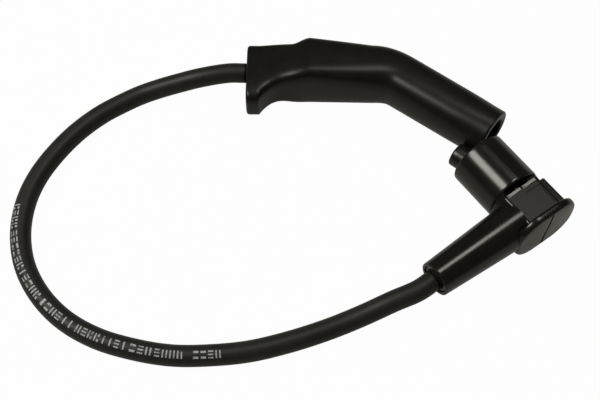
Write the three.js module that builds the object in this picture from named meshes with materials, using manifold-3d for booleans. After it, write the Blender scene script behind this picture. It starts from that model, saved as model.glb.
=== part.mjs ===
// Spark plug wire: a silicone ignition cable in one open loop, with an angled rubber plug
// boot on one end and a right-angled hard plastic connector on the other.
// Millimetres, +Z up. The part lies on z = 0. X runs along the boot's front arm, out of its
// mouth, and the origin is under the middle of the boot and the connector.

import * as THREE from 'three';
import { mergeVertices } from 'three/addons/utils/BufferGeometryUtils.js';
import Module from 'manifold-3d';

const wasm = await Module();
wasm.setup();

// Cable
const cableRadius = 3.5;
const coreRadius = 0.9;
const seatGap = 0.3;
const cutMargin = 1;

// Boot: two arms that meet at a bend, with a one-sided finger grip on the rear arm
const bootPlace = new THREE.Vector2(-17.51, 25.27);
const bendAngle = THREE.MathUtils.degToRad(36.5);
const rearArmLength = 50.5;
const frontArmLength = 43.5;
const frontArmRadius = 9.1;
const mouthRimRound = 0.5;
const gripTipLength = 4.5;
const gripLength = 17.5;
const gripRampLength = 3.5;
const bendSetback = 4.0;
const bendRelief = 0.6;

// Boot sections: reach away from the grip, reach towards it, half the height, squareness
const gripSection = { far: 9.0, near: 15.3, half: 6.5, square: 5.0 };
const waistSection = { far: 9.4, near: 8.9, half: 9.2, square: 3.0 };
const shoulderSection = { far: 12.8, near: 8.9, half: 11.0, square: 2.2 };
const bendSection = { far: 10.2, near: 10.4, half: 10.1, square: 2.0 };
const gripEdgeRound = 0.8;

// Boot hollows, in distance along the front arm from the bend
const bootBoreRadius = 5.9;
const bootBoreDepth = 27;
const bootMouthChamfer = 0.6;
const cableBendReach = 8;

// Plug terminal: snap socket, web and crimp barrel of one rolled sheet
const sheetThickness = 0.45;
const socketInnerRadius = 3.2;
const socketLength = 13;
const socketSlotWidth = 0.8;
const socketSlotLength = 9;
const plugCrimpLength = 7;
const webThickness = 1.0;
const clipWireRadius = 0.35;
const clipFromMouth = 6;
const clipOpening = THREE.MathUtils.degToRad(60);

// Connector: its own x runs along the barrel to the end flange, its cable sleeve along -y
const elbowPlace = new THREE.Vector2(52.45, 6.93);
const elbowTurn = THREE.MathUtils.degToRad(-17.1);
const barrelRadius = 10.15;
const barrelWall = 1.7;
const barrelMouthToSleeve = 27.4;
const barrelLength = 18.8;
const barrelFloor = 0.8;
const barrelEdgeRound = 0.5;
const neckRadius = 7.0;
const blockFront = -7.2;
const blockHalfWidth = 6.8;
const blockHalfHeight = 7.3;
const blockChamfer = 0.7;
const blockStepWidth = 2.5;
const blockStepSetback = 1.4;
const blockStepHalfHeight = 6.4;
const webHalfHeight = 4.5;
const webNear = 4.0;
const webInset = 0.2;
const pocketDepth = 0.5;
const pocketMargin = 1.0;
const flangeWidth = 24.6;
const flangeHeight = 20.6;
const flangeCorner = 8.8;
const flangeThickness = 2.6;
const flangeBevel = 0.5;
const flangeBack = 5.0;
const sleeveLength = 41.5;
const sleeveEndRadius = 6.0;
const sleeveRootRadius = 7.75;
const sleeveEndRound = 0.3;

// Hollows of the connector
const sleeveBoreRadius = 4.5;
const sleeveBoreEnd = 6.0;
const sealPocketRadius = 4.9;
const sealLength = 5.5;
const sealInset = 0.5;
const floorHoleRadius = 3.9;

// Nozzle in the barrel: a soft tube that the boot beside it pushes askew
const nozzleRadius = 4.1;
const nozzleReach = 5.5;
const nozzleDepth = 14.5;
const nozzleSideways = 5.0;
const nozzleDown = 0.3;
const nozzleTail = 1.6;
const nozzleEdgeRound = 0.5;
const nozzleMouthRadius = 3.25;
const nozzleMouthDepth = 5.5;

// Contact in the nozzle, and the crimp terminal that its tail is riveted to
const contactRadius = 2.6;
const contactWall = 0.5;
const contactLength = 13;
const contactInset = 6.2;
const contactFloor = 1.5;
const tailRadius = 1.2;
const tailHead = 0.8;
const lugNear = coreRadius + seatGap;
const lugThickness = 0.8;
const lugHalfWidth = 3.5;
const lugEnd = 5.6;
const lugHoleClearance = 0.5;
const elbowCrimpStart = -18;
const elbowCrimpLength = 8.5;
const jacketInCrimp = 7;
const coreBare = 4;

// What follows from the sizes above
const bootHeight = shoulderSection.half;
const elbowHeight = Math.max(barrelRadius, flangeHeight / 2);
const passageRadius = cableRadius + seatGap;
const crimpRadius = passageRadius + sheetThickness;
const crimpChamberRadius = crimpRadius + seatGap;
const bootBoreFloor = frontArmLength - bootBoreDepth;
const webStart = bootBoreFloor;
const plugCrimpStart = webStart - plugCrimpLength;
const socketStart = webStart + webThickness;
const socketMouth = socketStart + socketLength;
const mouthX = -barrelMouthToSleeve;
const barrelEnd = mouthX + barrelLength;

// The loose cable's route, chosen by eye from the boot's rear face to the sleeve's end
const cableRoute = [
  [-58.35, -4.95, 11.0], [-63.3, -8.6, 11.0], [-70.7, -15.6, 9.9], [-76.4, -21.0, 7.9],
  [-81.5, -26.2, 6.0], [-86.1, -32.0, 4.4], [-89.6, -38.9, 3.6], [-92.1, -46.4, 3.6],
  [-93.8, -56.6, 3.6], [-93.8, -67.6, 3.6], [-92.0, -79.0, 3.6], [-88.2, -88.7, 3.6],
  [-81.4, -98.3, 3.6], [-72.0, -106.1, 3.6], [-60.6, -111.0, 3.6], [-48.2, -112.8, 3.6],
  [-35.6, -111.3, 3.6], [-23.4, -107.0, 3.6], [-12.4, -101.3, 3.6], [-2.8, -94.0, 3.6],
  [6.2, -85.6, 3.6], [14.4, -75.4, 3.6], [21.7, -64.7, 3.8], [28.0, -55.2, 5.8],
  [33.8, -46.2, 8.8], [38.34, -38.95, 10.3], [40.16, -33.02, 10.3],
].map(([x, y, z]) => new THREE.Vector3(x, y, z));
const cableSteps = 20;

// Closed mesh to solid: shared corners merged, folded triangles dropped, faces outwards
function solid(geometry) {
  const bare = geometry.index ? geometry.toNonIndexed() : geometry.clone();
  bare.deleteAttribute('normal');
  bare.deleteAttribute('uv');
  const merged = mergeVertices(bare, 1e-4);
  const points = merged.attributes.position.array;
  const corner = (i) => new THREE.Vector3().fromArray(points, 3 * i);
  const triangles = [];
  let volume = 0;
  for (let i = 0; i < merged.index.count; i += 3) {
    const [a, b, c] = merged.index.array.slice(i, i + 3);
    if (a !== b && b !== c && c !== a) {
      triangles.push(a, b, c);
      volume += corner(a).dot(corner(b).cross(corner(c)));
    }
  }
  if (volume < 0) triangles.reverse();
  return new wasm.Manifold(new wasm.Mesh({
    numProp: 3,
    vertProperties: new Float32Array(points),
    triVerts: new Uint32Array(triangles),
  }));
}

function surface(body) {
  const mesh = body.getMesh();
  const geometry = new THREE.BufferGeometry();
  geometry.setAttribute('position', new THREE.BufferAttribute(mesh.vertProperties, 3));
  geometry.setIndex(new THREE.BufferAttribute(mesh.triVerts, 1));
  geometry.computeVertexNormals();
  return geometry;
}

// A closed profile of [along, radius] points turned round the x axis
function turned(profile, sides = 32) {
  const points = [...profile, profile[0]].map(([along, radius]) => new THREE.Vector2(radius, along));
  return new THREE.LatheGeometry(points, sides).rotateZ(-Math.PI / 2);
}

function rod(from, to, radius, sides = 32) {
  return turned([[from, 0], [from, radius], [to, radius], [to, 0]], sides);
}

function pipe(from, to, inner, outer, sides = 32) {
  return turned([[from, inner], [from, outer], [to, outer], [to, inner]], sides);
}

function slab(size, centre) {
  return new THREE.BoxGeometry(...size).translate(...centre);
}

function disc(radius) {
  return new THREE.Shape().absarc(0, 0, radius, 0, 2 * Math.PI);
}

function tubeAlong(path, radius, steps, curveSegments) {
  return new THREE.ExtrudeGeometry(disc(radius), { extrudePath: path, steps, curveSegments });
}

// Turned about y instead of x: the x axis goes to the y axis
function alongY(geometry) {
  return geometry.rotateZ(Math.PI / 2);
}

function roundedRectangle(width, height, radius) {
  const x = width / 2;
  const y = height / 2;
  const shape = new THREE.Shape();
  shape.moveTo(-x + radius, -y);
  shape.lineTo(x - radius, -y);
  shape.absarc(x - radius, -y + radius, radius, -Math.PI / 2, 0);
  shape.lineTo(x, y - radius);
  shape.absarc(x - radius, y - radius, radius, 0, Math.PI / 2);
  shape.lineTo(-x + radius, y);
  shape.absarc(-x + radius, y - radius, radius, Math.PI / 2, Math.PI);
  shape.lineTo(-x, -y + radius);
  shape.absarc(-x + radius, -y + radius, radius, Math.PI, 1.5 * Math.PI);
  return shape;
}

// An outline in (y, z), extruded along x
function extrudedAlongX(shape, from, to, options = {}) {
  const geometry = new THREE.ExtrudeGeometry(shape, { depth: to - from, bevelEnabled: false, ...options });
  return geometry.rotateX(Math.PI / 2).rotateZ(Math.PI / 2).translate(from, 0, 0);
}

// Skin over a row of rings that have the same number of points, closed by a fan at each end
function loft(rings) {
  const count = rings[0].length;
  const points = rings.flat();
  const triangles = [];
  for (let r = 0; r + 1 < rings.length; r += 1) {
    for (let i = 0; i < count; i += 1) {
      const a = r * count + i;
      const b = r * count + (i + 1) % count;
      triangles.push(a, b, a + count, b, b + count, a + count);
    }
  }
  for (const [ring, first] of [[rings[0], 0], [rings.at(-1), (rings.length - 1) * count]]) {
    const middle = points.length;
    const sum = ring.reduce((total, p) => total.add(p), new THREE.Vector3());
    points.push(sum.divideScalar(count));
    for (let i = 0; i < count; i += 1) {
      const a = first + i;
      const b = first + (i + 1) % count;
      triangles.push(...(first === 0 ? [b, a, middle] : [a, b, middle]));
    }
  }
  const geometry = new THREE.BufferGeometry().setFromPoints(points);
  geometry.setIndex(triangles);
  return geometry;
}

// One ring of the boot: a squared ellipse that reaches further on one side
function bootRing(centre, side, section) {
  const count = 32;
  return Array.from({ length: count }, (_, i) => {
    const angle = 2 * Math.PI * i / count;
    const power = 2 / section.square;
    const across = Math.sign(Math.cos(angle)) * Math.abs(Math.cos(angle)) ** power;
    const up = Math.sign(Math.sin(angle)) * Math.abs(Math.sin(angle)) ** power;
    const reach = across > 0 ? section.far : section.near;
    return centre.clone().addScaledVector(side, across * reach).setZ(up * section.half);
  });
}

function mixed(one, other, share) {
  const mix = (key) => THREE.MathUtils.lerp(one[key], other[key], share);
  return { far: mix('far'), near: mix('near'), half: mix('half'), square: mix('square') };
}

function inset(section, amount) {
  const { far, near, half, square } = section;
  return { far: far - amount, near: near - amount, half: half - amount, square };
}

function round(radius) {
  return { far: radius, near: radius, half: radius, square: 2 };
}

// The grip's hollow for a finger: the near side falls away fast, the height grows slowly
function hollowSection(share) {
  const section = mixed(gripSection, waistSection, share);
  section.near = waistSection.near + (gripSection.near - waistSection.near) * (1 - share) ** 3;
  section.half = gripSection.half + (waistSection.half - gripSection.half) * share ** 2;
  return section;
}

// The boot's outer form, with the bend at the origin and its middle plane at z = 0
function bootBody() {
  const rearDirection = new THREE.Vector3(Math.cos(bendAngle), Math.sin(bendAngle), 0);
  const rearSide = new THREE.Vector3(-Math.sin(bendAngle), Math.cos(bendAngle), 0);
  const frontSide = new THREE.Vector3(0, 1, 0);
  const bendSide = rearSide.clone().add(frontSide).normalize().divideScalar(Math.cos(bendAngle / 2));
  const onRear = (along) => rearDirection.clone().multiplyScalar(along - rearArmLength);
  const onFront = (along) => new THREE.Vector3(along, 0, 0);
  const rear = (along, section) => bootRing(onRear(along), rearSide, section);
  const front = (along, section) => bootRing(onFront(along), frontSide, section);

  const hollowLength = gripLength - gripTipLength;
  const rampEnd = gripLength + gripRampLength;
  const rearArmEnd = rearArmLength - bendSetback;
  const rings = [
    rear(0, inset(gripSection, gripEdgeRound)),
    rear(0.3 * gripEdgeRound, inset(gripSection, 0.3 * gripEdgeRound)),
    rear(gripEdgeRound, gripSection),
  ];
  for (const share of [0, 0.08, 0.18, 0.3, 0.45, 0.7, 1]) {
    rings.push(rear(gripTipLength + share * hollowLength, hollowSection(share)));
  }
  for (const share of [0.3, 0.7, 1]) {
    const eased = THREE.MathUtils.smoothstep(share, 0, 1);
    rings.push(rear(gripLength + share * gripRampLength, mixed(waistSection, shoulderSection, eased)));
  }
  for (const share of [0.35, 0.7, 1]) {
    const along = THREE.MathUtils.lerp(rampEnd, rearArmEnd, share);
    rings.push(rear(along, mixed(shoulderSection, bendSection, share)));
  }
  const bendRing = mixed(bendSection, round(frontArmRadius), 0.5);
  bendRing.far -= bendRelief;
  rings.push(bootRing(new THREE.Vector3(), bendSide, bendRing));
  rings.push(front(bendSetback, round(frontArmRadius)));
  rings.push(front(frontArmLength - mouthRimRound, round(frontArmRadius)));
  rings.push(front(frontArmLength - 0.3 * mouthRimRound, inset(round(frontArmRadius), 0.3 * mouthRimRound)));
  rings.push(front(frontArmLength, inset(round(frontArmRadius), mouthRimRound)));
  return loft(rings);
}

// The cable's middle line in the boot: along the rear arm, round the bend, to a point in front
function pathInBoot(rearExtra, frontEnd) {
  const rearPoint = (along) => new THREE.Vector3(-along * Math.cos(bendAngle), -along * Math.sin(bendAngle), 0);
  const path = new THREE.CurvePath();
  const bendStart = rearPoint(cableBendReach);
  const bendEnd = new THREE.Vector3(cableBendReach, 0, 0);
  path.add(new THREE.LineCurve3(rearPoint(rearArmLength + rearExtra), bendStart));
  path.add(new THREE.QuadraticBezierCurve3(bendStart, new THREE.Vector3(), bendEnd));
  path.add(new THREE.LineCurve3(bendEnd, new THREE.Vector3(frontEnd, 0, 0)));
  return path;
}

function plugBoot() {
  const mouth = frontArmLength;
  const bore = turned([
    [bootBoreFloor, 0], [bootBoreFloor, bootBoreRadius],
    [mouth - bootMouthChamfer, bootBoreRadius],
    [mouth + cutMargin, bootBoreRadius + bootMouthChamfer + cutMargin],
    [mouth + cutMargin, 0],
  ]);
  const crimpChamber = rod(plugCrimpStart - seatGap, bootBoreFloor + cutMargin, crimpChamberRadius, 24);
  const passage = tubeAlong(pathInBoot(cutMargin, plugCrimpStart + cutMargin), passageRadius, 24, 10);
  return solid(bootBody())
    .subtract(solid(bore))
    .subtract(solid(crimpChamber))
    .subtract(solid(passage));
}

function plugCableEnd() {
  return solid(tubeAlong(pathInBoot(0, webStart - seatGap), cableRadius, 24, 10));
}

function plugCableCore() {
  return solid(rod(webStart, socketStart, coreRadius, 12));
}

// Snap socket and crimp barrel round one web, split along the seam where the sheet meets
function plugTerminal() {
  const socketRadius = socketInnerRadius + sheetThickness;
  const webHole = coreRadius + seatGap;
  const blank = turned([
    [plugCrimpStart, passageRadius], [plugCrimpStart, crimpRadius],
    [webStart, crimpRadius], [socketStart, socketRadius], [socketMouth, socketRadius],
    [socketMouth, socketInnerRadius], [socketStart, socketInnerRadius],
    [socketStart, webHole], [webStart, webHole], [webStart, passageRadius],
  ]);
  const whole = socketMouth - plugCrimpStart;
  const seam = slab([whole + 2 * cutMargin, socketSlotWidth, 2 * crimpRadius],
    [plugCrimpStart + whole / 2, 0, crimpRadius + webHole]);
  const slot = slab([socketSlotLength + cutMargin, socketSlotWidth, 2 * crimpRadius],
    [socketMouth - (socketSlotLength - cutMargin) / 2, 0, -crimpRadius]);
  return solid(blank).subtract(solid(seam)).subtract(solid(slot));
}

// Round wire bent into an open ring round the socket
function plugTerminalClip() {
  const bendRadius = socketInnerRadius + sheetThickness + seatGap + clipWireRadius;
  const swept = 2 * Math.PI - clipOpening;
  const at = socketMouth - clipFromMouth;
  const points = Array.from({ length: 17 }, (_, i) => {
    const angle = Math.PI / 2 + clipOpening / 2 + swept * i / 16;
    return new THREE.Vector3(at, bendRadius * Math.cos(angle), bendRadius * Math.sin(angle));
  });
  return solid(tubeAlong(new THREE.CatmullRomCurve3(points), clipWireRadius, 24, 4));
}

function elbowBarrel() {
  return turned([
    [mouthX, 0], [mouthX, barrelRadius - barrelEdgeRound], [mouthX + barrelEdgeRound, barrelRadius],
    [barrelEnd - barrelEdgeRound, barrelRadius], [barrelEnd, barrelRadius - barrelEdgeRound],
    [barrelEnd, 0],
  ], 48);
}

// Block behind the neck, stepped out on the side away from the sleeve
function elbowBlock() {
  const shape = new THREE.Shape([
    [-blockHalfWidth + blockChamfer, -blockHalfHeight], [blockHalfWidth - blockChamfer, -blockHalfHeight],
    [blockHalfWidth, -blockHalfHeight + blockChamfer], [blockHalfWidth, blockHalfHeight - blockChamfer],
    [blockHalfWidth - blockChamfer, blockHalfHeight], [-blockHalfWidth + blockChamfer, blockHalfHeight],
    [-blockHalfWidth, blockHalfHeight - blockChamfer], [-blockHalfWidth, -blockHalfHeight + blockChamfer],
  ].map(([y, z]) => new THREE.Vector2(y, z)));
  const stepFront = blockFront + blockStepSetback;
  const step = slab([flangeBack + cutMargin - stepFront, 2 * blockStepWidth, 2 * blockStepHalfHeight],
    [(stepFront + flangeBack + cutMargin) / 2, blockHalfWidth, 0]);
  const pocketWidth = blockHalfWidth - 2 * pocketMargin;
  const pocketFront = stepFront + pocketMargin;
  const pocketBack = flangeBack - pocketMargin;
  const pocket = slab([pocketBack - pocketFront, pocketWidth, 2 * pocketDepth],
    [(pocketFront + pocketBack) / 2, pocketMargin + pocketWidth / 2, blockHalfHeight]);
  return solid(extrudedAlongX(shape, blockFront, flangeBack + cutMargin))
    .add(solid(step))
    .subtract(solid(pocket));
}

// Web between barrel and block, on the side away from the sleeve
function elbowWeb() {
  const stepFront = blockFront + blockStepSetback;
  const start = barrelEnd - barrelWall;
  const taper = turned([
    [start, 0], [start, barrelRadius - webInset], [stepFront + cutMargin, blockHalfWidth + blockStepWidth],
    [stepFront + cutMargin, 0],
  ], 48);
  const keep = slab([2 * barrelWall + stepFront - start, barrelRadius, 2 * webHalfHeight],
    [(start + stepFront) / 2, webNear + barrelRadius / 2, 0]);
  return solid(taper).intersect(solid(keep));
}

function elbowFlange() {
  const shape = roundedRectangle(flangeWidth - 2 * flangeBevel, flangeHeight - 2 * flangeBevel,
    flangeCorner - flangeBevel);
  return extrudedAlongX(shape, flangeBack + flangeBevel, flangeBack + flangeThickness - flangeBevel, {
    bevelEnabled: true, bevelThickness: flangeBevel, bevelSize: flangeBevel, bevelSegments: 1,
    curveSegments: 6,
  });
}

// Cable sleeve: a cone whose wide end is sunk into the block
function elbowSleeve() {
  const rootY = -blockHalfWidth + blockChamfer;
  return alongY(turned([
    [-sleeveLength, 0], [-sleeveLength, sleeveEndRadius - sleeveEndRound],
    [-sleeveLength + sleeveEndRound, sleeveEndRadius], [rootY, sleeveRootRadius], [rootY, 0],
  ], 40));
}

function elbowShell() {
  const barrelBore = rod(mouthX - cutMargin, barrelEnd - barrelFloor, barrelRadius - barrelWall, 40);
  const floorHole = rod(barrelEnd - barrelFloor - cutMargin, 0, floorHoleRadius, 24);
  const sleeveBore = alongY(rod(-sleeveLength - cutMargin, sleeveBoreEnd, sleeveBoreRadius, 28));
  const sealEnd = -sleeveLength + sealInset + sealLength + seatGap;
  const sealPocket = alongY(rod(-sleeveLength - cutMargin, sealEnd, sealPocketRadius, 28));
  return solid(elbowBarrel())
    .add(solid(rod(barrelEnd - cutMargin, blockFront + cutMargin, neckRadius)))
    .add(elbowBlock())
    .add(elbowWeb())
    .add(solid(elbowFlange()))
    .add(solid(elbowSleeve()))
    .subtract(solid(barrelBore))
    .subtract(solid(floorHole))
    .subtract(solid(sleeveBore))
    .subtract(solid(sealPocket));
}

function cableSeal() {
  const start = -sleeveLength + sealInset;
  return solid(alongY(pipe(start, start + sealLength, passageRadius, sealPocketRadius - seatGap, 28)));
}

const jacketEnd = elbowCrimpStart + jacketInCrimp;

function elbowCableEnd() {
  return solid(alongY(rod(-sleeveLength, jacketEnd, cableRadius, 20)));
}

function elbowCableCore() {
  return solid(alongY(rod(jacketEnd + seatGap, jacketEnd + seatGap + coreBare, coreRadius, 12)));
}

// The nozzle's axis: from a root on the barrel's axis to a tip pushed sideways and down
const nozzleRoot = new THREE.Vector3(mouthX + nozzleDepth, 0, 0);
const nozzleVector = new THREE.Vector3(-nozzleDepth - nozzleReach, -nozzleSideways, -nozzleDown);
const nozzleLength = nozzleVector.length();
const nozzleDirection = nozzleVector.clone().normalize();
const nozzleTurn = new THREE.Quaternion().setFromUnitVectors(new THREE.Vector3(1, 0, 0), nozzleDirection);

// Where the nozzle's axis meets a plane across the barrel's axis
function onNozzleAxis(x) {
  return nozzleRoot.clone().addScaledVector(nozzleDirection, (x - nozzleRoot.x) / nozzleDirection.x);
}

function elbowNozzle() {
  const bore = contactRadius + seatGap;
  return solid(turned([
    [-nozzleTail, bore], [-nozzleTail, nozzleRadius], [nozzleLength - nozzleEdgeRound, nozzleRadius],
    [nozzleLength, nozzleRadius - nozzleEdgeRound], [nozzleLength, nozzleMouthRadius],
    [nozzleLength - nozzleMouthDepth, nozzleMouthRadius], [nozzleLength - nozzleMouthDepth, bore],
  ]));
}

// Contact tube with a closed floor and a long tail for the rivet
function elbowContact() {
  const mouth = nozzleLength - contactInset;
  const floor = mouth - contactLength;
  const tailEnd = onNozzleAxis(lugNear + lugThickness + tailHead).distanceTo(nozzleRoot);
  return solid(turned([
    [-tailEnd, 0], [-tailEnd, tailRadius], [floor, tailRadius], [floor, contactRadius],
    [mouth, contactRadius], [mouth, contactRadius - contactWall],
    [floor + contactFloor, contactRadius - contactWall], [floor + contactFloor, 0],
  ], 24));
}

// Crimp barrel with a flat lug that runs on beside the bare core to the contact's tail
function elbowCrimpTerminal() {
  const crimpEnd = elbowCrimpStart + elbowCrimpLength;
  const hole = onNozzleAxis(lugNear + lugThickness / 2);
  const lugStart = crimpEnd - 1.5;
  const lug = slab([lugThickness, lugEnd - lugStart, 2 * lugHalfWidth],
    [lugNear + lugThickness / 2, (lugStart + lugEnd) / 2, 0]);
  const holeCutter = rod(lugNear - cutMargin, lugNear + lugThickness + cutMargin, tailRadius + lugHoleClearance, 20)
    .translate(0, hole.y, hole.z);
  return solid(alongY(pipe(elbowCrimpStart, crimpEnd, passageRadius, crimpRadius, 28)))
    .add(solid(lug))
    .subtract(solid(holeCutter));
}

function looseCable() {
  return solid(tubeAlong(new THREE.CatmullRomCurve3(cableRoute), cableRadius, cableSteps, 5));
}

const rubber = { color: 0x1b1a18, roughness: 0.62, metalness: 0 };
const silicone = { color: 0x1d1c1a, roughness: 0.5, metalness: 0 };
const plastic = { color: 0x161512, roughness: 0.22, metalness: 0 };
const brass = { color: 0xb08a45, roughness: 0.35, metalness: 1 };
const plated = { color: 0xb9b6ad, roughness: 0.3, metalness: 1 };
const springSteel = { color: 0x8d8f92, roughness: 0.3, metalness: 1 };
const copper = { color: 0xa5633c, roughness: 0.45, metalness: 1 };

function piece(name, body, finish) {
  const mesh = new THREE.Mesh(surface(body), new THREE.MeshStandardMaterial(finish));
  mesh.name = name;
  return mesh;
}

const boot = new THREE.Group();
boot.position.set(bootPlace.x, bootPlace.y, bootHeight);
boot.add(
  piece('plug_boot', plugBoot(), rubber),
  piece('plug_cable_end', plugCableEnd(), silicone),
  piece('plug_cable_core', plugCableCore(), copper),
  piece('plug_terminal', plugTerminal(), plated),
  piece('plug_terminal_clip', plugTerminalClip(), springSteel),
);

const nozzle = new THREE.Group();
nozzle.position.copy(nozzleRoot);
nozzle.quaternion.copy(nozzleTurn);
nozzle.add(
  piece('elbow_nozzle', elbowNozzle(), rubber),
  piece('elbow_contact', elbowContact(), brass),
);

const elbow = new THREE.Group();
elbow.position.set(elbowPlace.x, elbowPlace.y, elbowHeight);
elbow.rotation.z = elbowTurn;
elbow.add(
  piece('elbow_shell', elbowShell(), plastic),
  nozzle,
  piece('elbow_crimp_terminal', elbowCrimpTerminal(), plated),
  piece('elbow_cable_end', elbowCableEnd(), silicone),
  piece('elbow_cable_core', elbowCableCore(), copper),
  piece('cable_seal', cableSeal(), rubber),
);

const group = new THREE.Group();
group.add(piece('ignition_cable', looseCable(), silicone), boot, elbow);

export default group;
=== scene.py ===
# %% [markdown]
# # An ignition lead in Blender
#
# The object is a short spark plug lead: a round silicone cable in one open loop, an angled
# rubber boot on one end and a hard plastic right-angled connector on the other. The solids
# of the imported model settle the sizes, and the values here follow them. This lesson dresses
# them: soft rubber, moulded plastic, plated metal and a printed cable. Loading the frame
# comes first, because every piece sits where the solids say.

# %% Load the frame
import math
import random

import bmesh
import bpy
from mathutils import Matrix, Vector


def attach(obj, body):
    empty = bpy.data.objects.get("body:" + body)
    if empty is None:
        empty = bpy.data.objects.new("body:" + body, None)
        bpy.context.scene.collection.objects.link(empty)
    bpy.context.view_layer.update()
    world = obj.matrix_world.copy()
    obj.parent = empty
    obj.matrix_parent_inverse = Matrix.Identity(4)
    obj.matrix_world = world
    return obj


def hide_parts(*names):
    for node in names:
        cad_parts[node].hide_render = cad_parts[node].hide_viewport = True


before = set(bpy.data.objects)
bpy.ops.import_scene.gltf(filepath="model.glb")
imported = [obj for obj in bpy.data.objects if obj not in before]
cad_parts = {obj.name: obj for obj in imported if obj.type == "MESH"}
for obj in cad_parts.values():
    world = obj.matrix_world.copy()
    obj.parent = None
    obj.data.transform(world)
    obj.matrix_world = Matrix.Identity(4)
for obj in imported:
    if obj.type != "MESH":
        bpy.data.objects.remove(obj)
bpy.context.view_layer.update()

MM = 0.001

# %% [markdown]
# ## Camera
#
# The lead lies on a table and the camera looks down on it steeply from the front. It aims
# near the middle of the loop. It stands close, less than 40 cm away, so the near side of the
# cable shows about a tenth larger than the boot on the far side.

# %% Camera
camera_elevation = math.radians(60.0)
camera_azimuth = math.radians(36.95)
camera_distance = 366.0 * MM
camera_lens = 63.6
look_at = Vector((-15.36, -30.23, 0.0)) * MM

camera = bpy.data.objects.new("camera", bpy.data.cameras.new("camera"))
bpy.context.scene.collection.objects.link(camera)
camera.data.sensor_fit = "HORIZONTAL"
camera.data.sensor_width = 36.0
camera.data.lens = camera_lens
camera.data.clip_start = 0.01
camera.location = look_at + camera_distance * Vector((
    math.cos(camera_elevation) * math.sin(camera_azimuth),
    -math.cos(camera_elevation) * math.cos(camera_azimuth),
    math.sin(camera_elevation),
))
camera.rotation_euler = (math.pi / 2 - camera_elevation, 0.0, camera_azimuth)
bpy.context.scene.camera = camera
print("camera stands at", [round(v, 3) for v in camera.location])

# %% [markdown]
# ## Working by hand, in code
#
# Each new piece starts as a primitive and is shaped in edit mode. An operator works on
# everything that is selected, and loading the frame leaves its solids selected. So a few
# small helpers keep the selection honest: they clear it, take one piece alone, open it for
# editing, and pick its vertices, edges or faces by a test on their place.

# %% Helpers for selecting
def clear_selection():
    if bpy.context.object and bpy.context.object.mode != "OBJECT":
        bpy.ops.object.mode_set(mode="OBJECT")
    bpy.ops.object.select_all(action="DESELECT")


def select_only(piece):
    clear_selection()
    piece.select_set(True)
    bpy.context.view_layer.objects.active = piece


def edit(piece):
    """Open one piece in edit mode, with nothing in it selected."""
    select_only(piece)
    bpy.ops.object.mode_set(mode="EDIT")
    bpy.ops.mesh.select_all(action="DESELECT")


def pick(kind, test):
    """Select the vertices, edges or faces of the edited piece that pass a test."""
    bpy.ops.mesh.select_mode(type=kind)
    bpy.ops.mesh.select_all(action="DESELECT")
    mesh = bmesh.from_edit_mesh(bpy.context.edit_object.data)
    found = {"VERT": mesh.verts, "EDGE": mesh.edges, "FACE": mesh.faces}[kind]
    count = 0
    for part in found:
        if test(part):
            part.select_set(True)
            count += 1
    mesh.select_flush_mode()
    bmesh.update_edit_mesh(bpy.context.edit_object.data)
    return count


print("selected after loading:", sum(node.select_get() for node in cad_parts.values()))
clear_selection()

# %% [markdown]
# ## The cable's route
#
# A cable has a fixed length, so its route is settled before its skin. The points are the
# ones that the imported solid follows: straight out of the boot, down to the table, once
# round the loop, and up into the connector's sleeve. A smooth curve through them is walked
# in small equal steps, which gives the rings of the skin later.

# %% Route
cable_radius = 3.5 * MM
cable_route = [Vector(p) * MM for p in (
    (-58.35, -4.95, 11.0), (-63.3, -8.6, 11.0), (-70.7, -15.6, 9.9), (-76.4, -21.0, 7.9),
    (-81.5, -26.2, 6.0), (-86.1, -32.0, 4.4), (-89.6, -38.9, 3.6), (-92.1, -46.4, 3.6),
    (-93.8, -56.6, 3.6), (-93.8, -67.6, 3.6), (-92.0, -79.0, 3.6), (-88.2, -88.7, 3.6),
    (-81.4, -98.3, 3.6), (-72.0, -106.1, 3.6), (-60.6, -111.0, 3.6), (-48.2, -112.8, 3.6),
    (-35.6, -111.3, 3.6), (-23.4, -107.0, 3.6), (-12.4, -101.3, 3.6), (-2.8, -94.0, 3.6),
    (6.2, -85.6, 3.6), (14.4, -75.4, 3.6), (21.7, -64.7, 3.8), (28.0, -55.2, 5.8),
    (33.8, -46.2, 8.8), (38.34, -38.95, 10.3), (40.16, -33.02, 10.3),
)]
steps_per_span = 24


def walk(points, step):
    """Equal steps along a smooth curve through the points."""
    guide = [points[0] * 2 - points[1]] + points + [points[-1] * 2 - points[-2]]
    fine = []
    for a, b, c, d in zip(guide, guide[1:], guide[2:], guide[3:]):
        ta, tb, tc = ((q - p).length ** 0.5 for p, q in ((a, b), (b, c), (c, d)))
        into = ((b - a) / ta - (c - a) / (ta + tb) + (c - b) / tb) * tb
        out = ((c - b) / tb - (d - b) / (tb + tc) + (d - c) / tc) * tb
        for i in range(steps_per_span):
            t = i / steps_per_span
            fine.append(
                b * (2 * t ** 3 - 3 * t ** 2 + 1) + into * (t ** 3 - 2 * t ** 2 + t)
                + c * (3 * t ** 2 - 2 * t ** 3) + out * (t ** 3 - t ** 2)
            )
    fine.append(points[-1])
    lengths = [0.0]
    for p, q in zip(fine, fine[1:]):
        lengths.append(lengths[-1] + (q - p).length)
    count = round(lengths[-1] / step)
    walked = []
    k = 0
    for i in range(count + 1):
        want = lengths[-1] * i / count
        while k + 2 < len(fine) and lengths[k + 1] < want:
            k += 1
        share = (want - lengths[k]) / (lengths[k + 1] - lengths[k])
        walked.append(fine[k].lerp(fine[k + 1], share))
    return walked, lengths[-1]


cable_line, cable_length = walk(cable_route, 1.0 * MM)
print("cable length", round(cable_length / MM, 1), "mm in", len(cable_line), "points")

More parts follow.
